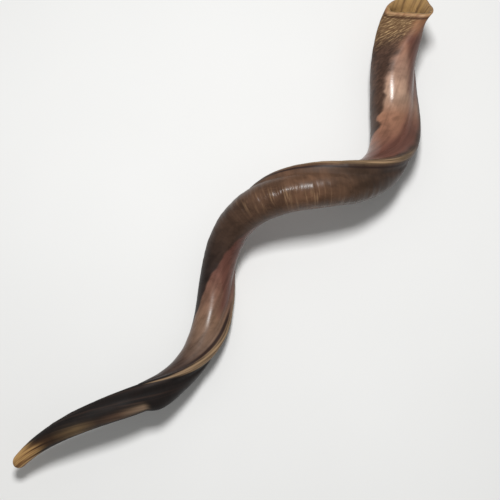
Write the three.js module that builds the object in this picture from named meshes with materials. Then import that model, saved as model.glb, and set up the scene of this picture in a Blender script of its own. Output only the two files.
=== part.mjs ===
// A polished spiral horn, hollow at its wide mouth, lying on the floor with the mouth towards +X.
import * as THREE from "three";

// Lengths are millimetres and angles degrees. A list of values runs from mouth to tip along a Bezier curve.
const AXIS_RUN = [0, 279, 432, 735];
const COIL_RADIUS = [55, 48, 28, 35];
const GIRTH_RADIUS = [29.5, 27, 17, 24, 8];
const COIL_HEIGHT_RATIO = 0.75;
const COIL_START = 9;
const COIL_TURNS = 1.98;
const COIL_BOW = -4;

// The keel is a ridge along one side, with a shallow groove on each flank. It spreads out along the tail.
const KEEL_ANGLE = 76;
const KEEL_RISE = 0.38;
const KEEL_RISE_AT_TIP = 0.08;
const KEEL_WIDTH = 19;
const KEEL_WIDTH_AT_TIP = 50;
const KEEL_LEFT_AT_MOUTH = 0.3;
const KEEL_FULL_FROM = 0.02;
const TAIL_FROM = 0.72;
const GROOVE_DEPTH = 0.06;
const GROOVE_WIDTH = 9;
const GROOVE_OFFSET = 25.7;
const UPPER_GROOVE_FROM = 0.58;
const UPPER_GROOVE_FULL = 0.68;

// The knuckle is a swelling on the lower side where the last strand begins.
const KNUCKLE_ANGLE = 330;
const KNUCKLE_RISE = 0.3;
const KNUCKLE_WIDTH = 45;
const KNUCKLE_FROM = 0.75;
const KNUCKLE_PEAK = 0.808;
const KNUCKLE_END = 0.828;

// The side of the mouth that faces up is flattened, one corner is worn, and the end is cut off at a slant.
const FLAT_ANGLE = 256;
const FLAT_DISTANCE = 0.56;
const FLAT_CLEAR = 2;
const FLAT_REACH = 0.2;
const FLAT_SHARPNESS = 8;
const BEVEL_ANGLE = 135;
const BEVEL_DEPTH = 0.34;
const BEVEL_WIDTH = 50;
const BEVEL_REACH = 0.045;
const SLANT_FORWARD = -6;
const SLANT_OUTWARD = 0.42;
const SLANT_SIDEWAYS = -0.58;
const SLANT_REACH = 0.1;

// The hollow follows the horn and narrows to a rounded end.
const MOUTH_WALL = 5;
const HOLLOW_END = 0.24;
const HOLLOW_TAPER = 1.5;
const TIP_LENGTH = 10;

// How the horn leans when it has come to rest.
const REST_ROLL = 10.2;
const REST_PITCH = -3.2;

const SIDES = 28;
const OUTER_STATIONS = 110;
const HOLLOW_STATIONS = 32;
const TIP_STATIONS = 5;
const TANGENT_STEP = 1e-4;

const radians = THREE.MathUtils.degToRad;
const lerp = THREE.MathUtils.lerp;
const smoothstep = THREE.MathUtils.smoothstep;

function bezier(values, t) {
  let level = values;
  while (level.length > 1) {
    level = level.slice(1).map((value, i) => lerp(level[i], value, t));
  }
  return level[0];
}

function phase(t) {
  return radians(COIL_START + 360 * COIL_TURNS * t);
}

// The line through the middle of the horn.
function spine(t) {
  const coil = bezier(COIL_RADIUS, t);
  const bow = COIL_BOW * 4 * t * (1 - t);
  return new THREE.Vector3(
    -bezier(AXIS_RUN, t),
    coil * Math.cos(phase(t)) + bow,
    -COIL_HEIGHT_RATIO * coil * Math.sin(phase(t)),
  );
}

// Directions at one place: along the horn, outward from the coil, and sideways.
function directions(t) {
  const along = spine(t + TANGENT_STEP).sub(spine(t - TANGENT_STEP)).normalize();
  const outward = new THREE.Vector3(0, Math.cos(phase(t)), -Math.sin(phase(t)));
  outward.addScaledVector(along, -outward.dot(along)).normalize();
  const sideways = new THREE.Vector3().crossVectors(along, outward);
  return { along, outward, sideways };
}

// A smooth bump, 1 at the centre angle and near 0 two widths away.
function bump(angle, centre, width) {
  const turn = THREE.MathUtils.euclideanModulo(angle - centre + 180, 360) - 180;
  return Math.exp(-((turn / width) ** 2));
}

// The round section, flattened on one side of the mouth and worn away on another.
function girth(angle, t) {
  const distance = lerp(FLAT_DISTANCE, FLAT_CLEAR, smoothstep(t, 0, FLAT_REACH));
  const facing = Math.max(0, Math.cos(radians(angle - FLAT_ANGLE)));
  const flattened = (1 + (facing / distance) ** FLAT_SHARPNESS) ** (-1 / FLAT_SHARPNESS);
  const wear = BEVEL_DEPTH * bump(angle, BEVEL_ANGLE, BEVEL_WIDTH) * (1 - smoothstep(t, 0, BEVEL_REACH));
  return bezier(GIRTH_RADIUS, t) * flattened * (1 - wear);
}

// The rise of the keel and the fall of its grooves, as shares of the radius.
function keel(angle, t) {
  const tail = smoothstep(t, TAIL_FROM, 1);
  const full = lerp(KEEL_LEFT_AT_MOUTH, 1, smoothstep(t, 0, KEEL_FULL_FROM));
  const rise = full * lerp(KEEL_RISE, KEEL_RISE_AT_TIP, tail);
  const width = lerp(KEEL_WIDTH, KEEL_WIDTH_AT_TIP, tail);
  const upperFull = smoothstep(t, UPPER_GROOVE_FROM, UPPER_GROOVE_FULL);
  const upperGroove = upperFull * bump(angle, KEEL_ANGLE + GROOVE_OFFSET, GROOVE_WIDTH);
  const lowerGroove = bump(angle, KEEL_ANGLE - GROOVE_OFFSET, GROOVE_WIDTH);
  return rise * bump(angle, KEEL_ANGLE, width) - GROOVE_DEPTH * (1 - tail) * (upperGroove + lowerGroove);
}

// The rise of the knuckle, as a share of the radius.
function knuckle(angle, t) {
  const swell = smoothstep(t, KNUCKLE_FROM, KNUCKLE_PEAK) * (1 - smoothstep(t, KNUCKLE_PEAK, KNUCKLE_END));
  return KNUCKLE_RISE * swell * bump(angle, KNUCKLE_ANGLE, KNUCKLE_WIDTH);
}

function outerRadius(angle, t) {
  return girth(angle, t) * (1 + keel(angle, t) + knuckle(angle, t));
}

// The radius of the hollow, full at the mouth and nothing at its end.
function hollowRadius(angle, t) {
  const open = girth(angle, t) - MOUTH_WALL;
  return open * Math.sqrt(Math.max(0, 1 - (t / HOLLOW_END) ** HOLLOW_TAPER));
}

// One ring of points around the spine, slanted close to the mouth.
function ring(t, radiusAt) {
  const centre = spine(t);
  const { along, outward, sideways } = directions(t);
  const slant = Math.max(0, 1 - t / SLANT_REACH) ** 2;
  const points = [];
  for (let side = 0; side < SIDES; side++) {
    const angle = KEEL_ANGLE + (360 * side) / SIDES;
    const across = radiusAt(angle, t) * Math.cos(radians(angle));
    const aside = radiusAt(angle, t) * Math.sin(radians(angle));
    const shift = slant * (SLANT_FORWARD + SLANT_OUTWARD * across + SLANT_SIDEWAYS * aside);
    points.push(
      centre
        .clone()
        .addScaledVector(outward, across)
        .addScaledVector(sideways, aside)
        .addScaledVector(along, shift),
    );
  }
  return points;
}

// The rings of the rounded tip past the end of the spine.
function tipRings() {
  const centre = spine(1);
  const { along } = directions(1);
  const rim = ring(1, outerRadius);
  const rings = [];
  for (let step = 1; step < TIP_STATIONS; step++) {
    const turn = (Math.PI / 2) * (step / TIP_STATIONS);
    const forward = TIP_LENGTH * Math.sin(turn);
    rings.push(
      rim.map((point) =>
        centre.clone().lerp(point, Math.cos(turn)).addScaledVector(along, forward),
      ),
    );
  }
  return rings;
}

// The rings from the end of the hollow out to the mouth, then along the outside to the tip.
function surfaceRings() {
  const rings = [];
  for (let i = HOLLOW_STATIONS - 1; i >= 0; i--) {
    const share = i / HOLLOW_STATIONS;
    rings.push(ring(HOLLOW_END * share * (2 - share), hollowRadius));
  }
  for (let i = 0; i <= OUTER_STATIONS; i++) {
    rings.push(ring(i / OUTER_STATIONS, outerRadius));
  }
  return rings.concat(tipRings());
}

// Joins the rings to one closed surface, with a point at each end.
function hornGeometry() {
  const rings = surfaceRings();
  const tip = spine(1).addScaledVector(directions(1).along, TIP_LENGTH);
  const points = [...rings.flat(), spine(HOLLOW_END), tip];
  const hollowPoint = points.length - 2;
  const tipPoint = points.length - 1;
  const lastRing = (rings.length - 1) * SIDES;
  const faces = [];
  for (let side = 0; side < SIDES; side++) {
    const next = (side + 1) % SIDES;
    faces.push(hollowPoint, next, side);
    for (let row = 0; row < lastRing; row += SIDES) {
      const [a, b, c, d] = [row + side, row + next, row + SIDES + next, row + SIDES + side];
      faces.push(a, b, c, a, c, d);
    }
    faces.push(tipPoint, lastRing + side, lastRing + next);
  }
  const geometry = new THREE.BufferGeometry().setFromPoints(points);
  geometry.setIndex(faces);
  geometry.computeVertexNormals();
  return geometry;
}

// Lays the horn down, with the middle of its box over the origin and its lowest point on the floor.
function layDown(horn) {
  horn.rotation.set(radians(REST_ROLL), radians(REST_PITCH), 0, "YXZ");
  const box = new THREE.Box3().setFromObject(horn, true);
  const middle = box.getCenter(new THREE.Vector3());
  horn.position.set(-middle.x, -middle.y, -box.min.z);
}

const keratin = new THREE.MeshStandardMaterial({ color: 0x5a3d2c, roughness: 0.3 });
const horn = new THREE.Mesh(hornGeometry(), keratin);
horn.name = "horn";
layDown(horn);

const part = new THREE.Group();
part.add(horn);

export default part;
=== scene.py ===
# A polished spiral horn lying on a pale floor, seen from above.
import math

import bpy
import numpy as np
from mathutils import Euler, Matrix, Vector


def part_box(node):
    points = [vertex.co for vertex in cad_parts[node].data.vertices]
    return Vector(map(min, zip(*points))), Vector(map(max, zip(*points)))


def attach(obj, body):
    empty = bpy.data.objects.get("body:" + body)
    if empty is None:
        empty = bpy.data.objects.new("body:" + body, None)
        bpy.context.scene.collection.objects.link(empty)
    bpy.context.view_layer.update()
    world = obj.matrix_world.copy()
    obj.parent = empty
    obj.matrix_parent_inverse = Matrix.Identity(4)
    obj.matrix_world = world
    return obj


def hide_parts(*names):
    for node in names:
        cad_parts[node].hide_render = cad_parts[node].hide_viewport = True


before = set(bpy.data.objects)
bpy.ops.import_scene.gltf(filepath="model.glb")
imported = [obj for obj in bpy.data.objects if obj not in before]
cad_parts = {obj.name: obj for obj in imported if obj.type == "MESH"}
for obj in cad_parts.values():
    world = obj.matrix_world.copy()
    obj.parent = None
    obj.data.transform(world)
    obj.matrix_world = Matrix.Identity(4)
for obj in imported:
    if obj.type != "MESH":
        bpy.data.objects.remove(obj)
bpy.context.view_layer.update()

# The horn's form: metres and degrees. A list of values runs from mouth to tip along a Bezier curve.
AXIS_RUN = (0.0, 0.279, 0.432, 0.735)
COIL_RADIUS = (0.055, 0.048, 0.028, 0.035)
GIRTH_RADIUS = (0.0295, 0.027, 0.017, 0.024, 0.008)
COIL_HEIGHT_RATIO = 0.75
COIL_START = 9
COIL_TURNS = 1.98
COIL_BOW = -0.004

# The keel is a ridge along one side, with a shallow groove on each flank. It spreads out along the tail.
KEEL_ANGLE = 76
KEEL_RISE = 0.38
KEEL_RISE_AT_TIP = 0.08
KEEL_WIDTH = 19
KEEL_WIDTH_AT_TIP = 50
KEEL_LEFT_AT_MOUTH = 0.3
KEEL_FULL_FROM = 0.02
TAIL_FROM = 0.72
GROOVE_DEPTH = 0.06
GROOVE_WIDTH = 9
GROOVE_OFFSET = 25.7
UPPER_GROOVE_FROM = 0.58
UPPER_GROOVE_FULL = 0.68

# The knuckle is a swelling on the lower side where the last strand begins.
KNUCKLE_ANGLE = 330
KNUCKLE_RISE = 0.3
KNUCKLE_WIDTH = 45
KNUCKLE_FROM = 0.75
KNUCKLE_PEAK = 0.808
KNUCKLE_END = 0.828

# The side of the mouth that faces up is flattened, one corner is worn, and the end is cut off at a slant.
FLAT_ANGLE = 256
FLAT_DISTANCE = 0.56
FLAT_CLEAR = 2
FLAT_REACH = 0.2
FLAT_SHARPNESS = 8
SLANT_FORWARD = -0.006
SLANT_OUTWARD = 0.42
SLANT_SIDEWAYS = -0.58
SLANT_REACH = 0.1
BEVEL_ANGLE = 135
BEVEL_DEPTH = 0.34
BEVEL_WIDTH = 50
BEVEL_REACH = 0.045

# The hollow follows the horn and narrows to a rounded end.
MOUTH_WALL = 0.005
HOLLOW_END = 0.24
HOLLOW_TAPER = 1.5
TIP_LENGTH = 0.010

# How the horn leans when it has come to rest.
REST_ROLL = 10.2
REST_PITCH = -3.2

# How finely the horn is drawn.
AROUND = 112
OUTER_ROWS = 720
HOLLOW_ROWS = 48
TIP_ROWS = 10
RIM_EDGE = 0.0009
FIRST_OUTER_ROW = 0.0015
TANGENT_STEP = 1e-4
ARC_STEPS = 400

# How much each of the three rows on the rim looks like the hollow, from the inside out.
RIM_INSIDE = (1, 0.85, 0.2)

# Below, angles around the horn are degrees, and places run from 0 at the mouth to 1 at the tip.
# A run is a start, an end and how soft both are. A ramp is a start and an end.
# A band is a centre and a width.

# The polished pale side. Its edge moves by so many degrees along each part of the horn.
PALE_FROM = 88
PALE_EDGE = 212
PALE_MORE_AT_MOUTH = 9
PALE_MOUTH_REACH = 0.05
PALE_MORE_ON_BEND = 12
PALE_BEND_RUN = (0.182, 0.35, 0.006)
PALE_MORE_ON_STRAND = 6
PALE_STRAND_RAMP = (0.4, 0.5)
PALE_MORE_BELOW = 8
PALE_BELOW_RAMP = (0.56, 0.64)
PALE_WAVE = 10
PALE_WAVE_CELLS = (70, 4)
PALE_WAVE_SEED = 5
PALE_EDGE_SOFT = 7
PALE_SOFTER_AT_MOUTH = 15
PALE_SOFTER_RAMP = (0.075, 0.115)

# Dark lobes that reach into the pale side: start, end and depth in degrees.
DARK_LOBES = ((0.116, 0.147, 9), (0.159, 0.177, 15))
DARK_LOBE_SOFT = 0.004

# The light band on the keel, and the thin lines of painted shade in the grooves beside it.
KEEL_BAND_WIDTH = 7
KEEL_BAND_GAIN = 7
KEEL_BAND_GAIN_RAMP = (0.5, 0.62)
KEEL_BAND_LOSS = 11
KEEL_BAND_LOSS_RAMP = (0.71, 0.8)
KEEL_BAND_IN_RAMP = (0.17, 0.24)
KEEL_BAND_OUT_RAMP = (0.79, 0.83)
# Painted shade: a thin dark line in the groove on each flank of the keel.
OUTER_GROOVE_SHADE_BAND = (KEEL_ANGLE - 13, 2.2)
OUTER_GROOVE_SHADE_RUN = (0.2, 0.5, 0.05)
INNER_GROOVE_SHADE_BAND = (KEEL_ANGLE + 17, 5)
INNER_GROOVE_SHADE_RUN = (0.63, 0.8, 0.03)
DULL_GROOVE_WIDTH = 1.5 * GROOVE_WIDTH

# The long stain begins right across the pale side and draws back towards the keel.
LONG_STAIN_EDGE = 124
LONG_STAIN_FLARE = 98
LONG_STAIN_FLARE_FROM = 0.03
LONG_STAIN_FLARE_LENGTH = 0.06
LONG_STAIN_SOFT_INSIDE = 16
LONG_STAIN_SOFT_OUTSIDE = 12
LONG_STAIN_FADING = 0.55
LONG_STAIN_FADED_BAND = (0.135, 0.025)
LONG_STAIN_RUN = (0.032, 0.26, 0.012)

# Smaller stains lower down. The blotch slants across the strand.
LOWER_STAIN = 0.75
LOWER_STAIN_BAND = (135, 16)
LOWER_STAIN_RUN = (0.2, 0.29, 0.02)
BLOTCH = 1.6
BLOTCH_ANGLE = 205
BLOTCH_PLACE = 0.545
BLOTCH_SLANT = 840
BLOTCH_WIDTH = 12
BLOTCH_RUN = (0.535, 0.605, 0.012)
RED_SIDE = 1.4
RED_SIDE_BAND = (130, 22)
RED_SIDE_RUN = (0.55, 0.64, 0.03)

# The rim, the dark line under its lip, and the wrinkled skin below.
MOUTH_FACE = 256
RIM_RAMP = (0.0016, 0.005)
LIP_BAND = (0.0068, 0.0018)
SKIN_REACH = 0.022
SKIN_REACHES_MORE = 0.012
SKIN_MORE_RAMP = (-30, 50)
SKIN_FADE_BEFORE = 0.02
SKIN_FADE_AFTER = 0.035

# Flecks and wrinkles on the big front bend, the pale streak on the last strand, and the amber tip.
FLECK_BAND = (322, 30)
FLECK_RUN = (0.33, 0.46, 0.03)
WRINKLE_BAND = (325, 50)
WRINKLE_RUN = (0.28, 0.52, 0.06)
STREAK_IN_RAMP = (0.816, 0.83)
STREAK_TURN_RAMP = (0.82, 0.93)
STREAK_ANGLES = (345, 290)
STREAK_WIDTHS = (20, 40)
AMBER_START = 0.986
AMBER_REACHES_MORE = 0.014
AMBER_BAND = (275, 60)
AMBER_FADE_BEFORE = 0.024
AMBER_FADE_AFTER = 0.02

# Low relief, with heights in metres. Cells are how many random values lie along and around the horn.
LUMP_HEIGHT = 0.0007
LUMP_CELLS = (46, 9)
LUMP_SEED = 11
RING_HEIGHT = 0.0003
RING_HEIGHT_ON_WRINKLES = 0.0011
RING_CELLS = (190, 7)
RING_SEED = 13
RING_DRIFT = 0.006
DRIFT_CELLS = (30, 6)
DRIFT_SEED = 12
LEDGE_HEIGHT = 0.0006
LEDGE_RISE_RAMP = (0.78, 0.81)
LEDGE_FALL_RAMP = (0.818, 0.824)
RELIEF_IN_RAMP = (0.004, 0.02)
RELIEF_OUT_RAMP = (0.95, 1)

# The grain is drawn on a straight rod of this radius. Below the mouth it leans over.
GRAIN_RADIUS = 0.02
OBLIQUE_LEAN = 50

# The camera, as the photograph looks at the horn.
IMAGE_SIDE = 500
FOCAL_PIXELS = 1000
SENSOR_WIDTH = 36
CAMERA_AIM = Vector((-0.0162, -0.0057, 0.0728))
CAMERA_AZIMUTH = -48.2
CAMERA_ELEVATION = 75
CAMERA_DISTANCE = 1.2

# A soft box above the horn and an even fill from all round.
KEY_PLACE = Vector((0.22, 0.2, 1.65))
KEY_SIZE = 0.34
KEY_POWER = 24
FILL_COLOUR = (1.0, 1.0, 0.99, 1)
FILL_STRENGTH = 0.29

FLOOR_HALF_SIDE = 6


def smoothstep(value, low, high):
    share = np.clip((value - low) / (high - low), 0, 1)
    return share * share * (3 - 2 * share)


def blend(start, end, share):
    return start + (end - start) * share


def bezier(values, t):
    level = list(values)
    while len(level) > 1:
        level = [a + (b - a) * t for a, b in zip(level, level[1:])]
    return level[0]


def phase(t):
    return np.radians(COIL_START + 360 * COIL_TURNS * t)


def spine(t):
    """The line through the middle of the horn."""
    coil = bezier(COIL_RADIUS, t)
    bow = COIL_BOW * 4 * t * (1 - t)
    x = -bezier(AXIS_RUN, t)
    y = coil * np.cos(phase(t)) + bow
    z = -COIL_HEIGHT_RATIO * coil * np.sin(phase(t))
    return np.stack([x, y, z], axis=-1)


def unit(vectors):
    return vectors / np.linalg.norm(vectors, axis=-1, keepdims=True)


def directions(t):
    """Along the horn, outward from the coil, and sideways."""
    along = unit(spine(t + TANGENT_STEP) - spine(t - TANGENT_STEP))
    outward = np.stack([0 * t, np.cos(phase(t)), -np.sin(phase(t))], axis=-1)
    outward = unit(outward - np.sum(outward * along, axis=-1, keepdims=True) * along)
    return along, outward, np.cross(along, outward)


def turn(angle, centre):
    """The angle from the centre, between -180 and 180 degrees."""
    return (angle - centre + 180) % 360 - 180


def bump(value, centre, width):
    """1 at the centre and near 0 two widths away, for angles and for places."""
    return np.exp(-((turn(value, centre) / width) ** 2))


def between(value, low, high, soft):
    return smoothstep(value, low - soft, low + soft) * (1 - smoothstep(value, high - soft, high + soft))


def girth(angle, t):
    """The round section, flattened on one side of the mouth and worn away on another."""
    distance = blend(FLAT_DISTANCE, FLAT_CLEAR, smoothstep(t, 0, FLAT_REACH))
    facing = np.maximum(0, np.cos(np.radians(angle - FLAT_ANGLE)))
    flattened = (1 + (facing / distance) ** FLAT_SHARPNESS) ** (-1 / FLAT_SHARPNESS)
    worn = 1 - BEVEL_DEPTH * bump(angle, BEVEL_ANGLE, BEVEL_WIDTH) * (1 - smoothstep(t, 0, BEVEL_REACH))
    return bezier(GIRTH_RADIUS, t) * flattened * worn


def keel(angle, t):
    """The ridge along one side and the groove on each flank, both dying away towards the tip."""
    tail = smoothstep(t, TAIL_FROM, 1)
    full = blend(KEEL_LEFT_AT_MOUTH, 1, smoothstep(t, 0, KEEL_FULL_FROM))
    rise = full * blend(KEEL_RISE, KEEL_RISE_AT_TIP, tail)
    ridge = rise * bump(angle, KEEL_ANGLE, blend(KEEL_WIDTH, KEEL_WIDTH_AT_TIP, tail))
    upper_full = smoothstep(t, UPPER_GROOVE_FROM, UPPER_GROOVE_FULL)
    upper_groove = upper_full * bump(angle, KEEL_ANGLE + GROOVE_OFFSET, GROOVE_WIDTH)
    lower_groove = bump(angle, KEEL_ANGLE - GROOVE_OFFSET, GROOVE_WIDTH)
    return ridge - GROOVE_DEPTH * (1 - tail) * (upper_groove + lower_groove)


def knuckle(angle, t):
    """The swelling on the lower side where the last strand begins."""
    swell = smoothstep(t, KNUCKLE_FROM, KNUCKLE_PEAK) * (1 - smoothstep(t, KNUCKLE_PEAK, KNUCKLE_END))
    return KNUCKLE_RISE * swell * bump(angle, KNUCKLE_ANGLE, KNUCKLE_WIDTH)


def outer_radius(angle, t):
    return girth(angle, t) * (1 + keel(angle, t) + knuckle(angle, t))


def hollow_radius(angle, t):
    wide = girth(angle, t) - MOUTH_WALL
    return wide * np.sqrt(np.maximum(0, 1 - (t / HOLLOW_END) ** HOLLOW_TAPER))


def surface(t, angle, radius):
    """Points around the spine, slanted close to the mouth."""
    along, outward, sideways = directions(t)
    across = (radius * np.cos(np.radians(angle)))[..., None]
    aside = (radius * np.sin(np.radians(angle)))[..., None]
    slant = (np.maximum(0, 1 - t / SLANT_REACH) ** 2)[..., None]
    shift = slant * (SLANT_FORWARD + SLANT_OUTWARD * across + SLANT_SIDEWAYS * aside)
    return spine(t) + across * outward + aside * sideways + shift * along


def row_grid(places):
    """The place and the angle of every point in rows around the horn."""
    angles = KEEL_ANGLE + 360 * np.arange(AROUND) / AROUND
    return np.meshgrid(np.asarray(places, float), angles, indexing="ij")


def hollow_rows():
    share = np.arange(HOLLOW_ROWS - 1, 0, -1) / HOLLOW_ROWS
    t, angle = row_grid(HOLLOW_END * share * (2 - share))
    return t, angle, surface(t, angle, hollow_radius(angle, t))


def rim_rows():
    t, angle = row_grid([0, 0, 0])
    inner = hollow_radius(angle[0], t[0]) + RIM_EDGE
    outer = outer_radius(angle[0], t[0]) - RIM_EDGE
    radius = np.stack([inner, (inner + outer) / 2, outer])
    return t, angle, surface(t, angle, radius)


def outer_rows():
    t, angle = row_grid(np.linspace(FIRST_OUTER_ROW, 1, OUTER_ROWS))
    return t, angle, surface(t, angle, outer_radius(angle, t) + relief(t, angle))


def tip_rows():
    end = np.ones(1)
    along = directions(end)[0][0]
    centre = spine(end)[0]
    t, angle = row_grid(np.ones(TIP_ROWS - 1))
    rim = surface(t, angle, outer_radius(angle, t))
    roll = (np.pi / 2 * np.arange(1, TIP_ROWS) / TIP_ROWS)[:, None, None]
    return t, angle, centre + (rim - centre) * np.cos(roll) + along * TIP_LENGTH * np.sin(roll)


def end_points():
    """The innermost point of the hollow and the very tip."""
    end = np.ones(1)
    hollow_end = spine(np.full(1, HOLLOW_END))
    tip = spine(end) + directions(end)[0] * TIP_LENGTH
    return np.concatenate([hollow_end, tip])


def ring_faces(rows):
    """Quads between neighbouring rings, and triangle fans to a point at each end."""
    row, side = np.meshgrid(np.arange(rows - 1), np.arange(AROUND), indexing="ij")
    following = (side + 1) % AROUND
    low = row * AROUND
    high = low + AROUND
    corners = [low + side, low + following, high + following, high + side]
    quads = np.stack(corners, axis=-1).reshape(-1, 4)
    hollow_point = rows * AROUND
    tip_point = hollow_point + 1
    last = (rows - 1) * AROUND
    ring = np.arange(AROUND)
    following = (ring + 1) % AROUND
    start = np.stack([np.full(AROUND, hollow_point), following, ring], axis=-1)
    end = np.stack([np.full(AROUND, tip_point), last + ring, last + following], axis=-1)
    return quads.tolist() + start.tolist() + end.tolist()


def lay_down(points):
    """Turns the points to the resting pose and sets them in the CAD node's box."""
    pose = np.array(Euler((math.radians(REST_ROLL), math.radians(REST_PITCH), 0), "XYZ").to_matrix())
    placed = points @ pose.T
    low, high = (np.array(corner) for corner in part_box("horn"))
    middle = (placed.min(axis=0) + placed.max(axis=0)) / 2
    offset = (low + high) / 2 - middle
    offset[2] = low[2] - placed[:, 2].min()
    return placed + offset


def value_noise(t, angle, along_cells, around_cells, seed):
    """Smooth random values from 0 to 1 that join up around the horn."""
    values = np.random.default_rng(seed).random((along_cells + 2, around_cells))
    row = np.clip(t, 0, 1) * along_cells
    column = (angle / 360 % 1) * around_cells
    low_row = np.floor(row).astype(int)
    low_column = np.floor(column).astype(int) % around_cells
    next_column = (low_column + 1) % around_cells
    row_share = smoothstep(row - low_row, 0, 1)
    column_share = smoothstep(column % 1, 0, 1)
    near = blend(values[low_row, low_column], values[low_row, next_column], column_share)
    far = blend(values[low_row + 1, low_column], values[low_row + 1, next_column], column_share)
    return blend(near, far, row_share)


def arc_length(t):
    """How far along the spine a place lies, in metres."""
    steps = np.linspace(0, 1, ARC_STEPS)
    run = np.linalg.norm(np.diff(spine(steps), axis=0), axis=1)
    return np.interp(t, steps, np.concatenate([[0], np.cumsum(run)]))


def pale_mask(t, angle):
    """The polished inner side of the spiral, with dark lobes reaching into it near the mouth."""
    edge = PALE_EDGE + PALE_MORE_AT_MOUTH * bump(t, 0, PALE_MOUTH_REACH)
    edge = edge + PALE_MORE_ON_BEND * between(t, *PALE_BEND_RUN)
    edge = edge + PALE_MORE_ON_STRAND * smoothstep(t, *PALE_STRAND_RAMP)
    edge = edge + PALE_MORE_BELOW * smoothstep(t, *PALE_BELOW_RAMP)
    for start, end, depth in DARK_LOBES:
        edge = edge - depth * between(t, start, end, DARK_LOBE_SOFT)
    wave = PALE_WAVE * (value_noise(t, angle * 0, *PALE_WAVE_CELLS, seed=PALE_WAVE_SEED) - 0.5)
    soft = PALE_EDGE_SOFT + PALE_SOFTER_AT_MOUTH * (1 - smoothstep(t, *PALE_SOFTER_RAMP))
    return between(angle % 360, PALE_FROM, edge + wave, soft)


def keel_mask(t, angle):
    """The light band on the keel, narrowing to a thread along the last bend."""
    gain = KEEL_BAND_GAIN * smoothstep(t, *KEEL_BAND_GAIN_RAMP)
    loss = KEEL_BAND_LOSS * smoothstep(t, *KEEL_BAND_LOSS_RAMP)
    band = bump(angle, KEEL_ANGLE, KEEL_BAND_WIDTH + gain - loss)
    return band * smoothstep(t, *KEEL_BAND_IN_RAMP) * (1 - smoothstep(t, *KEEL_BAND_OUT_RAMP))


def groove_shade_mask(t, angle):
    """Thin dark lines of painted shade in the grooves beside the keel, under its lip."""
    outer = bump(angle, *OUTER_GROOVE_SHADE_BAND) * between(t, *OUTER_GROOVE_SHADE_RUN)
    inner = bump(angle, *INNER_GROOVE_SHADE_BAND) * between(t, *INNER_GROOVE_SHADE_RUN)
    return np.clip(outer + inner, 0, 1)


def groove_mask(t, angle):
    """The dull grooves on both flanks of the keel."""
    lower = bump(angle, KEEL_ANGLE - GROOVE_OFFSET, DULL_GROOVE_WIDTH)
    upper = bump(angle, KEEL_ANGLE + GROOVE_OFFSET, DULL_GROOVE_WIDTH)
    return (lower + upper) * (1 - smoothstep(t, TAIL_FROM, 1))


def long_stain(t, angle):
    """The stain along the first strand, faded in one place."""
    flare = np.exp(-(t - LONG_STAIN_FLARE_FROM) / LONG_STAIN_FLARE_LENGTH)
    edge = LONG_STAIN_EDGE + LONG_STAIN_FLARE * flare
    strength = 1 - LONG_STAIN_FADING * bump(t, *LONG_STAIN_FADED_BAND)
    past = smoothstep(angle % 360, edge - LONG_STAIN_SOFT_INSIDE, edge + LONG_STAIN_SOFT_OUTSIDE)
    return strength * (1 - past) * between(t, *LONG_STAIN_RUN)


def stain_mask(t, angle):
    """Purple-brown stains on the polished side: a long one near the mouth and smaller ones lower down."""
    lower = LOWER_STAIN * bump(angle, *LOWER_STAIN_BAND) * between(t, *LOWER_STAIN_RUN)
    blotch_centre = BLOTCH_ANGLE - BLOTCH_SLANT * (t - BLOTCH_PLACE)
    blotch = BLOTCH * bump(angle, blotch_centre, BLOTCH_WIDTH) * between(t, *BLOTCH_RUN)
    red_side = RED_SIDE * bump(angle, *RED_SIDE_BAND) * between(t, *RED_SIDE_RUN)
    return np.clip(long_stain(t, angle) + lower + blotch + red_side, 0, 1)


def rim_gap(t):
    """0 on the rim and its rounded edge, 1 beyond it."""
    return smoothstep(t, *RIM_RAMP)


def mouth_mask(t, angle):
    """The wrinkled ochre skin below the rim, reaching lower on the outer edge of the mouth."""
    reach = SKIN_REACH + SKIN_REACHES_MORE * smoothstep(turn(angle, MOUTH_FACE), *SKIN_MORE_RAMP)
    return (1 - smoothstep(t, reach - SKIN_FADE_BEFORE, reach + SKIN_FADE_AFTER)) * rim_gap(t)


def lip_mask(t, angle):
    """The dark line under the lip of the mouth, the same all round."""
    return bump(t, *LIP_BAND) + 0 * angle


def fleck_mask(t, angle):
    """Light flecks on the lower half of the big front bend."""
    return bump(angle, *FLECK_BAND) * between(t, *FLECK_RUN)


def wrinkle_mask(t, angle):
    """Growth wrinkles across the outer side of the big front bend."""
    return bump(angle, *WRINKLE_BAND) * between(t, *WRINKLE_RUN)


def streak_mask(t, angle):
    """The pale streak on the lower side of the last strand, turning and widening towards the tip."""
    share = smoothstep(t, *STREAK_TURN_RAMP)
    band = bump(angle, blend(*STREAK_ANGLES, share), blend(*STREAK_WIDTHS, share))
    return smoothstep(t, *STREAK_IN_RAMP) * band


def amber_mask(t, angle):
    """The light tip, running further up on the lower side."""
    start = AMBER_START - AMBER_REACHES_MORE * bump(angle, *AMBER_BAND)
    return smoothstep(t, start - AMBER_FADE_BEFORE, start + AMBER_FADE_AFTER)


def relief(t, angle):
    """Low lumps, growth wrinkles and the ledge before the last strand, in metres."""
    lumps = LUMP_HEIGHT * (value_noise(t, angle, *LUMP_CELLS, seed=LUMP_SEED) - 0.5)
    drift = RING_DRIFT * value_noise(t, angle, *DRIFT_CELLS, seed=DRIFT_SEED)
    rings = value_noise(t + drift, angle, *RING_CELLS, seed=RING_SEED) - 0.5
    height = RING_HEIGHT + RING_HEIGHT_ON_WRINKLES * wrinkle_mask(t, angle)
    wrinkles = height * rings * (1 - pale_mask(t, angle))
    ledge = LEDGE_HEIGHT * (1 - smoothstep(t, *LEDGE_FALL_RAMP)) * smoothstep(t, *LEDGE_RISE_RAMP)
    fade = smoothstep(t, *RELIEF_IN_RAMP) * (1 - smoothstep(t, *RELIEF_OUT_RAMP))
    return (lumps + wrinkles + ledge) * fade


def add_attribute(mesh, name, values):
    layer = mesh.attributes.new(name, "FLOAT", "POINT")
    layer.data.foreach_set("value", np.ravel(values).astype(np.float32))


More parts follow.
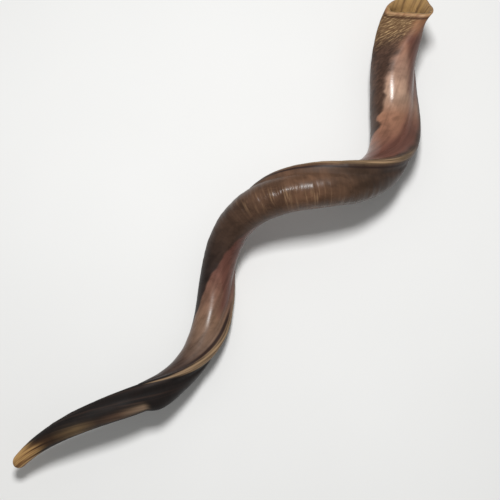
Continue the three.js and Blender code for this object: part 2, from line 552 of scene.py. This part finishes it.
def add_vectors(mesh, name, vectors):
    layer = mesh.attributes.new(name, "FLOAT_VECTOR", "POINT")
    layer.data.foreach_set("vector", np.ravel(vectors).astype(np.float32))


def add_coordinates(mesh, t, angle):
    """The horn's own coordinates, as if it were drawn out straight, and a leaning copy for the mouth."""
    length = arc_length(t)
    turned = np.radians(angle)
    drawn_out = [GRAIN_RADIUS * np.cos(turned), GRAIN_RADIUS * np.sin(turned), length]
    add_vectors(mesh, "grain", np.stack(drawn_out, -1))
    girdle = GRAIN_RADIUS * np.radians(turn(angle, MOUTH_FACE))
    lean = math.radians(OBLIQUE_LEAN)
    across = girdle * math.sin(lean) - length * math.cos(lean)
    down = girdle * math.cos(lean) + length * math.sin(lean)
    add_vectors(mesh, "oblique", np.stack([across, down, 0 * length], -1))


def add_markings(mesh, t, angle, inside):
    """Writes every marking, and the painted shade in the grooves, to the mesh, for the material to read."""
    add_coordinates(mesh, t, angle)
    add_attribute(mesh, "along", t)
    add_attribute(mesh, "inside", inside)
    add_attribute(mesh, "rim", 1 - rim_gap(t))
    masks = {
        "pale": pale_mask,
        "keel": keel_mask,
        "groove_shade": groove_shade_mask,
        "groove": groove_mask,
        "stain": stain_mask,
        "mouth": mouth_mask,
        "lip": lip_mask,
        "wrinkle": wrinkle_mask,
        "fleck": fleck_mask,
        "streak": streak_mask,
        "amber": amber_mask,
    }
    for name, mask in masks.items():
        add_attribute(mesh, name, mask(t, angle))


def make_horn():
    """The whole horn as one closed mesh: the hollow, the rim, the outside and the tip."""
    parts = [hollow_rows(), rim_rows(), outer_rows(), tip_rows()]
    inside_shares = [1, np.array(RIM_INSIDE)[:, None], 0, 0]
    t = np.concatenate([rows[0] for rows in parts])
    angle = np.concatenate([rows[1] for rows in parts])
    points = np.concatenate([rows[2] for rows in parts])
    inside = [np.broadcast_to(share, rows[0].shape) for share, rows in zip(inside_shares, parts)]
    everything = np.concatenate([points.reshape(-1, 3), end_points()])
    all_t = np.append(t, [HOLLOW_END, 1])
    all_angle = np.append(angle, [0, 0])
    all_inside = np.append(np.concatenate(inside), [1, 0])
    mesh = bpy.data.meshes.new("kudu_horn")
    mesh.from_pydata(lay_down(everything).tolist(), [], ring_faces(len(t)))
    mesh.polygons.foreach_set("use_smooth", [True] * len(mesh.polygons))
    mesh.validate()
    add_markings(mesh, all_t, all_angle, all_inside)
    horn = bpy.data.objects.new("kudu_horn", mesh)
    bpy.context.scene.collection.objects.link(horn)
    return horn


def paint(red, green, blue):
    """A screen colour from 0 to 255 as light values, by the standard sRGB curve."""
    shares = [value / 255 for value in (red, green, blue)]
    return tuple(c / 12.92 if c <= 0.04045 else ((c + 0.055) / 1.055) ** 2.4 for c in shares) + (1,)


# The main colours, each at its place along the horn.
OUTER_STOPS = (
    (0.0, paint(96, 70, 50)),
    (0.06, paint(78, 56, 45)),
    (0.24, paint(60, 45, 37)),
    (0.3, paint(68, 51, 39)),
    (0.37, paint(97, 70, 52)),
    (0.46, paint(76, 56, 43)),
    (0.58, paint(38, 28, 24)),
    (0.75, paint(22, 16, 14)),
    (1.0, paint(18, 12, 10)),
)
PALE_STOPS = (
    (0.0, paint(142, 100, 68)),
    (0.04, paint(136, 96, 76)),
    # The stops at 0.075 and 0.12 are lighter and greyer: the polished side's own tone, with a painted sheen
    # around the highlight on the first strand.
    (0.075, paint(158, 124, 106)),
    (0.12, paint(174, 143, 122)),
    (0.15, paint(146, 106, 84)),
    (0.2, paint(128, 89, 72)),
    (0.28, paint(112, 77, 64)),
    (0.54, paint(92, 58, 50)),
    (0.58, paint(114, 77, 66)),
    (0.66, paint(123, 96, 77)),
    (0.7, paint(110, 88, 73)),
    (0.75, paint(70, 55, 47)),
    (0.8, paint(34, 25, 21)),
    (1.0, paint(18, 12, 10)),
)
STREAK_STOPS = (
    (0.83, paint(152, 126, 102)),
    (0.86, paint(92, 69, 54)),
    (0.885, paint(58, 43, 34)),
    (0.912, paint(106, 85, 59)),
    (0.945, paint(54, 37, 23)),
    (1.0, paint(84, 56, 34)),
)

# The colours of single markings, and of the painted shade in the grooves beside the keel.
KEEL_TAN = paint(142, 116, 88)
FLECK_TAN = paint(148, 119, 90)
TAIL_BROWN = paint(50, 35, 28)
# Painted shade for the grooves beside the keel.
GROOVE_SHADE_DARK = paint(44, 29, 24)
STAIN_PURPLE = paint(92, 59, 50)
MOUTH_OCHRE = paint(104, 78, 54)
MOUTH_GOLD = paint(182, 151, 110)
LIP_DARK = paint(76, 50, 34)
RIM_OCHRE = paint(174, 138, 100)
RIM_BROWN = paint(140, 100, 70)
AMBER = paint(186, 147, 94)
AMBER_BROWN = paint(106, 70, 40)
HOLLOW_OCHRE = paint(160, 127, 82)
HOLLOW_BROWN = paint(110, 84, 55)
FLOOR_WHITE = (0.81, 0.81, 0.8, 1)
FLOOR_GREY = (0.78, 0.78, 0.77, 1)

# Where colours change along the horn, and between which values of a texture one colour gives way to another.
LEANING_RAMP = (0.08, 0.22)
THREAD_RAMP = (0.72, 0.84)
TEXTURE_RAMP = (0.3, 0.7)
FLECK_CRESTS = (0.52, 0.7)
FLECK_STRENGTH = 0.7
THREAD_CRESTS = (0.46, 0.72)
THREAD_STRENGTH = 0.75
GOLD_CRESTS = (0.46, 0.68)
AMBER_CRESTS = (0.4, 0.6)
RIM_CRESTS = (0.35, 0.65)
HOLLOW_CRESTS = (0.4, 0.65)

# How rough the surface is, and how much rougher or smoother in some places.
OUTER_ROUGHNESS = 0.34
POLISHED_ROUGHNESS = 0.15
POLISHED_RAMP = (0.2, 0.8)
MOTTLE_ROUGHER = 0.1
SKIN_ROUGHER = 0.25
GROOVE_ROUGHER = 0.3
TAIL_ROUGHER = 0.18
TAIL_RAMP = (0.76, 0.83)
MOUTH_ROUGHER = 0.25
MOUTH_RAMP = (0.05, 0.09)
WRINKLES_ROUGHER = -0.14
STRAND_ROUGHER = 0.1
STRAND_RAMP = (0.45, 0.52)
SHINE = 0.22
FLOOR_ROUGHNESS = (0.7, 0.85)

# The finest lines, as shading alone.
RIDGE_HEIGHT = 1.5
LINE_HEIGHT = 0.06
LINE_HEIGHT_ON_WRINKLES = 1.1
LINE_STRENGTH = 0.6
LINE_DEPTH = 0.0012

# Which sockets of the mix node hold colours.
MIX_SHARE = 0
MIX_FIRST = 6
MIX_SECOND = 7
MIX_RESULT = 2


def add_node(tree, kind, inputs, **settings):
    """Adds a node and gives each of its inputs a link or a value."""
    node = tree.nodes.new(kind)
    for name, value in settings.items():
        setattr(node, name, value)
    for name, value in inputs.items():
        if isinstance(value, bpy.types.NodeSocket):
            tree.links.new(value, node.inputs[name])
        else:
            node.inputs[name].default_value = value
    return node


def read(tree, name, output="Fac"):
    return add_node(tree, "ShaderNodeAttribute", {}, attribute_name=name).outputs[output]


def mix(tree, share, first, second, mode="MIX"):
    inputs = {MIX_SHARE: share, MIX_FIRST: first, MIX_SECOND: second}
    return add_node(tree, "ShaderNodeMix", inputs, data_type="RGBA", blend_type=mode).outputs[MIX_RESULT]


def compute(tree, operation, first, second):
    return add_node(tree, "ShaderNodeMath", {0: first, 1: second}, operation=operation).outputs[0]


def step(tree, value, low, high, start=0.0, end=1.0):
    """Runs smoothly from start to end while the value runs from low to high."""
    inputs = {"Value": value, "From Min": low, "From Max": high, "To Min": start, "To Max": end}
    return add_node(tree, "ShaderNodeMapRange", inputs, interpolation_type="SMOOTHSTEP").outputs["Result"]


def noise(tree, scale, detail, warp=0.0, coordinates="grain"):
    """Noise with so many patches per metre along each of the horn's own axes."""
    inputs = {0: read(tree, coordinates, "Vector"), 1: scale}
    scaled = add_node(tree, "ShaderNodeVectorMath", inputs, operation="MULTIPLY").outputs[0]
    inputs = {"Vector": scaled, "Scale": 1.0, "Detail": detail, "Roughness": 0.55, "Distortion": warp}
    return add_node(tree, "ShaderNodeTexNoise", inputs).outputs[0]


def ragged(tree, mask, texture, amount, soft):
    """A mask whose edge wanders with a texture, while what is fully in or out stays so."""
    # The edge is a quarter at most, so it is taken 4 times.
    edge = compute(tree, "SUBTRACT", mask, compute(tree, "MULTIPLY", mask, mask))
    wander = compute(tree, "MULTIPLY", compute(tree, "SUBTRACT", texture, 0.5), edge)
    total = compute(tree, "ADD", mask, compute(tree, "MULTIPLY", wander, 4 * amount))
    return step(tree, total, 0.5 - soft, 0.5 + soft)


def colour_ramp(tree, value, stops):
    node = add_node(tree, "ShaderNodeValToRGB", {0: value})
    ramp = node.color_ramp
    for place, colour in stops[1:-1]:
        ramp.elements.new(place).color = colour
    ramp.elements[0].position, ramp.elements[0].color = stops[0]
    ramp.elements[-1].position, ramp.elements[-1].color = stops[-1]
    return node.outputs[0]


def vary(tree, colour, texture, dark, light):
    """The colour times a shade that runs from dark to light with a texture."""
    shade = mix(tree, step(tree, texture, *TEXTURE_RAMP), (dark, dark, dark, 1), (light, light, light, 1))
    return mix(tree, 1.0, colour, shade, "MULTIPLY")


def outer_colour(tree, along, textures):
    """Brown to black, with growth lines, and streaks that lean over near the mouth."""
    base = colour_ramp(tree, along, OUTER_STOPS)
    base = vary(tree, base, textures["mottle"], dark=0.66, light=1.2)
    base = vary(tree, base, textures["across"], dark=0.92, light=1.08)
    leaning = vary(tree, base, textures["lines"], dark=0.55, light=1.35)
    return mix(tree, step(tree, along, *LEANING_RAMP, start=1.0, end=0.0), base, leaning)


def outer_markings(tree, colour, along, textures):
    """Light flecks on the front bend, brown threads along the tail and gold strokes below the mouth."""
    crests = step(tree, textures["across"], *FLECK_CRESTS, end=FLECK_STRENGTH)
    colour = mix(tree, compute(tree, "MULTIPLY", read(tree, "fleck"), crests), colour, FLECK_TAN)
    tail = step(tree, along, *THREAD_RAMP)
    threads = step(tree, textures["streaks"], *THREAD_CRESTS, end=THREAD_STRENGTH)
    colour = mix(tree, compute(tree, "MULTIPLY", tail, threads), colour, TAIL_BROWN)
    gold = mix(tree, step(tree, textures["lines"], *GOLD_CRESTS), MOUTH_OCHRE, MOUTH_GOLD)
    skin = ragged(tree, read(tree, "mouth"), textures["lines"], amount=0.8, soft=0.5)
    return mix(tree, skin, colour, gold)


def pale_colour(tree, along, textures):
    """The polished side with its purple-brown stains, and a painted sheen near the first strand's highlight.
    """
    base = colour_ramp(tree, along, PALE_STOPS)
    base = vary(tree, base, textures["streaks"], dark=0.84, light=1.12)
    base = vary(tree, base, textures["mottle"], dark=0.76, light=1.18)
    stain = ragged(tree, read(tree, "stain"), textures["mottle"], amount=1.7, soft=0.7)
    purple = vary(tree, STAIN_PURPLE, textures["streaks"], dark=0.82, light=1.3)
    return mix(tree, stain, base, purple)


def keel_colour(tree, colour, streaks, fine):
    """The light band on the keel and the lines of painted shade in the grooves beside it."""
    tan = vary(tree, KEEL_TAN, fine, dark=0.4, light=1.2)
    band = ragged(tree, read(tree, "keel"), fine, amount=0.9, soft=0.4)
    colour = mix(tree, band, colour, tan)
    # The grooves beside the keel are darkened with painted shade.
    groove_shade = ragged(tree, read(tree, "groove_shade"), streaks, amount=0.5, soft=0.4)
    return mix(tree, groove_shade, colour, GROOVE_SHADE_DARK)


def tip_colour(tree, colour, along, streaks):
    """The pale streak on the last strand and the amber tip."""
    tan = vary(tree, colour_ramp(tree, along, STREAK_STOPS), streaks, dark=0.6, light=1.12)
    streak = ragged(tree, read(tree, "streak"), streaks, amount=0.6, soft=0.5)
    colour = mix(tree, streak, colour, tan)
    amber = mix(tree, step(tree, streaks, *AMBER_CRESTS), AMBER_BROWN, AMBER)
    tip = ragged(tree, read(tree, "amber"), streaks, amount=1.2, soft=0.5)
    return mix(tree, tip, colour, amber)


def mouth_colour(tree, colour, streaks):
    """The dark line under the lip, the rim, and the inside of the hollow."""
    colour = mix(tree, read(tree, "lip"), colour, LIP_DARK)
    rim = mix(tree, step(tree, streaks, *RIM_CRESTS), RIM_BROWN, RIM_OCHRE)
    colour = mix(tree, read(tree, "rim"), colour, rim)
    hollow = mix(tree, step(tree, streaks, *HOLLOW_CRESTS), HOLLOW_OCHRE, HOLLOW_BROWN)
    return mix(tree, read(tree, "inside"), colour, hollow)


def horn_colour(tree, textures):
    along = read(tree, "along")
    outer = outer_colour(tree, along, textures)
    outer = outer_markings(tree, outer, along, textures)
    pale = pale_colour(tree, along, textures)
    edge = ragged(tree, read(tree, "pale"), textures["mottle"], amount=1.3, soft=0.6)
    colour = mix(tree, edge, outer, pale)
    colour = keel_colour(tree, colour, textures["streaks"], textures["fine"])
    colour = tip_colour(tree, colour, along, textures["streaks"])
    return mouth_colour(tree, colour, textures["streaks"])


def horn_roughness(tree, mottle):
    """Glossiest on the polished side, dullest on the mouth's skin, in the grooves and along the tail."""
    along = read(tree, "along")
    shares = [
        step(tree, read(tree, "pale"), *POLISHED_RAMP, start=OUTER_ROUGHNESS, end=POLISHED_ROUGHNESS),
        compute(tree, "MULTIPLY", read(tree, "mouth"), SKIN_ROUGHER),
        compute(tree, "MULTIPLY", read(tree, "groove"), GROOVE_ROUGHER),
        step(tree, along, *TAIL_RAMP, end=TAIL_ROUGHER),
        step(tree, along, *MOUTH_RAMP, start=MOUTH_ROUGHER, end=0.0),
        compute(tree, "MULTIPLY", read(tree, "wrinkle"), WRINKLES_ROUGHER),
        step(tree, along, *STRAND_RAMP, end=STRAND_ROUGHER),
    ]
    total = step(tree, mottle, *TEXTURE_RAMP, end=MOTTLE_ROUGHER)
    for share in shares:
        total = compute(tree, "ADD", total, share)
    return total


def horn_relief(tree, across, lines):
    """Fine growth lines, strongest on the wrinkled bend, and leaning ridges below the mouth."""
    ridges = compute(tree, "MULTIPLY", lines, read(tree, "mouth"))
    strength = step(tree, read(tree, "wrinkle"), 0.0, 1.0, LINE_HEIGHT, LINE_HEIGHT_ON_WRINKLES)
    rings = compute(tree, "MULTIPLY", across, strength)
    height = compute(tree, "ADD", compute(tree, "MULTIPLY", ridges, RIDGE_HEIGHT), rings)
    inputs = {"Height": height, "Strength": LINE_STRENGTH, "Distance": LINE_DEPTH}
    return add_node(tree, "ShaderNodeBump", inputs).outputs[0]


def horn_textures(tree):
    return {
        "streaks": noise(tree, (240, 240, 14), detail=5),
        "fine": noise(tree, (900, 900, 24), detail=3),
        "across": noise(tree, (34, 34, 420), detail=4),
        "mottle": noise(tree, (90, 90, 60), detail=6, warp=0.4),
        "lines": noise(tree, (640, 150, 0), detail=3, warp=0.6, coordinates="oblique"),
    }


def horn_material():
    material = bpy.data.materials.new("polished_horn")
    material.use_nodes = True
    tree = material.node_tree
    shader = tree.nodes["Principled BSDF"]
    textures = horn_textures(tree)
    tree.links.new(horn_colour(tree, textures), shader.inputs["Base Color"])
    tree.links.new(horn_roughness(tree, textures["mottle"]), shader.inputs["Roughness"])
    fine_lines = horn_relief(tree, textures["across"], textures["lines"])
    tree.links.new(fine_lines, shader.inputs["Normal"])
    shader.inputs["Specular IOR Level"].default_value = SHINE
    return material


def floor_material():
    """Matt white paint with a faint unevenness."""
    material = bpy.data.materials.new("floor")
    material.use_nodes = True
    tree = material.node_tree
    shader = tree.nodes["Principled BSDF"]
    place = add_node(tree, "ShaderNodeTexCoord", {}).outputs["Object"]
    patches = {"Vector": place, "Scale": 3.0, "Detail": 4.0}
    unevenness = add_node(tree, "ShaderNodeTexNoise", patches).outputs[0]
    colour = mix(tree, unevenness, FLOOR_WHITE, FLOOR_GREY)
    roughness = step(tree, unevenness, *TEXTURE_RAMP, *FLOOR_ROUGHNESS)
    tree.links.new(colour, shader.inputs["Base Color"])
    tree.links.new(roughness, shader.inputs["Roughness"])
    return material


def make_floor():
    mesh = bpy.data.meshes.new("floor")
    side = FLOOR_HALF_SIDE
    corners = [(-side, -side, 0), (side, -side, 0), (side, side, 0), (-side, side, 0)]
    mesh.from_pydata(corners, [], [(0, 1, 2, 3)])
    mesh.materials.append(floor_material())
    floor = bpy.data.objects.new("floor", mesh)
    bpy.context.scene.collection.objects.link(floor)


def make_key_light():
    """A square soft box that faces the origin."""
    data = bpy.data.lights.new("key", "AREA")
    data.size = KEY_SIZE
    data.energy = KEY_POWER
    light = bpy.data.objects.new("key", data)
    light.location = KEY_PLACE
    light.rotation_euler = (-KEY_PLACE).to_track_quat("-Z", "Y").to_euler()
    bpy.context.scene.collection.objects.link(light)


def make_fill_light():
    world = bpy.data.worlds.new("world")
    bpy.context.scene.world = world
    world.use_nodes = True
    background = world.node_tree.nodes["Background"]
    background.inputs["Color"].default_value = FILL_COLOUR
    background.inputs["Strength"].default_value = FILL_STRENGTH


def make_camera():
    data = bpy.data.cameras.new("camera")
    data.sensor_width = SENSOR_WIDTH
    data.lens = SENSOR_WIDTH * FOCAL_PIXELS / IMAGE_SIDE
    camera = bpy.data.objects.new("camera", data)
    look = Euler((math.radians(90 - CAMERA_ELEVATION), 0, math.radians(CAMERA_AZIMUTH)))
    back = Vector((0, 0, 1))
    back.rotate(look)
    camera.location = CAMERA_AIM + back * CAMERA_DISTANCE
    camera.rotation_euler = look
    bpy.context.scene.collection.objects.link(camera)
    bpy.context.scene.camera = camera


def main():
    horn = make_horn()
    horn.data.materials.append(horn_material())
    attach(horn, "root")
    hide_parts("horn")
    make_floor()
    make_key_light()
    make_fill_light()
    make_camera()
    bpy.context.scene.view_settings.view_transform = "Standard"


main()
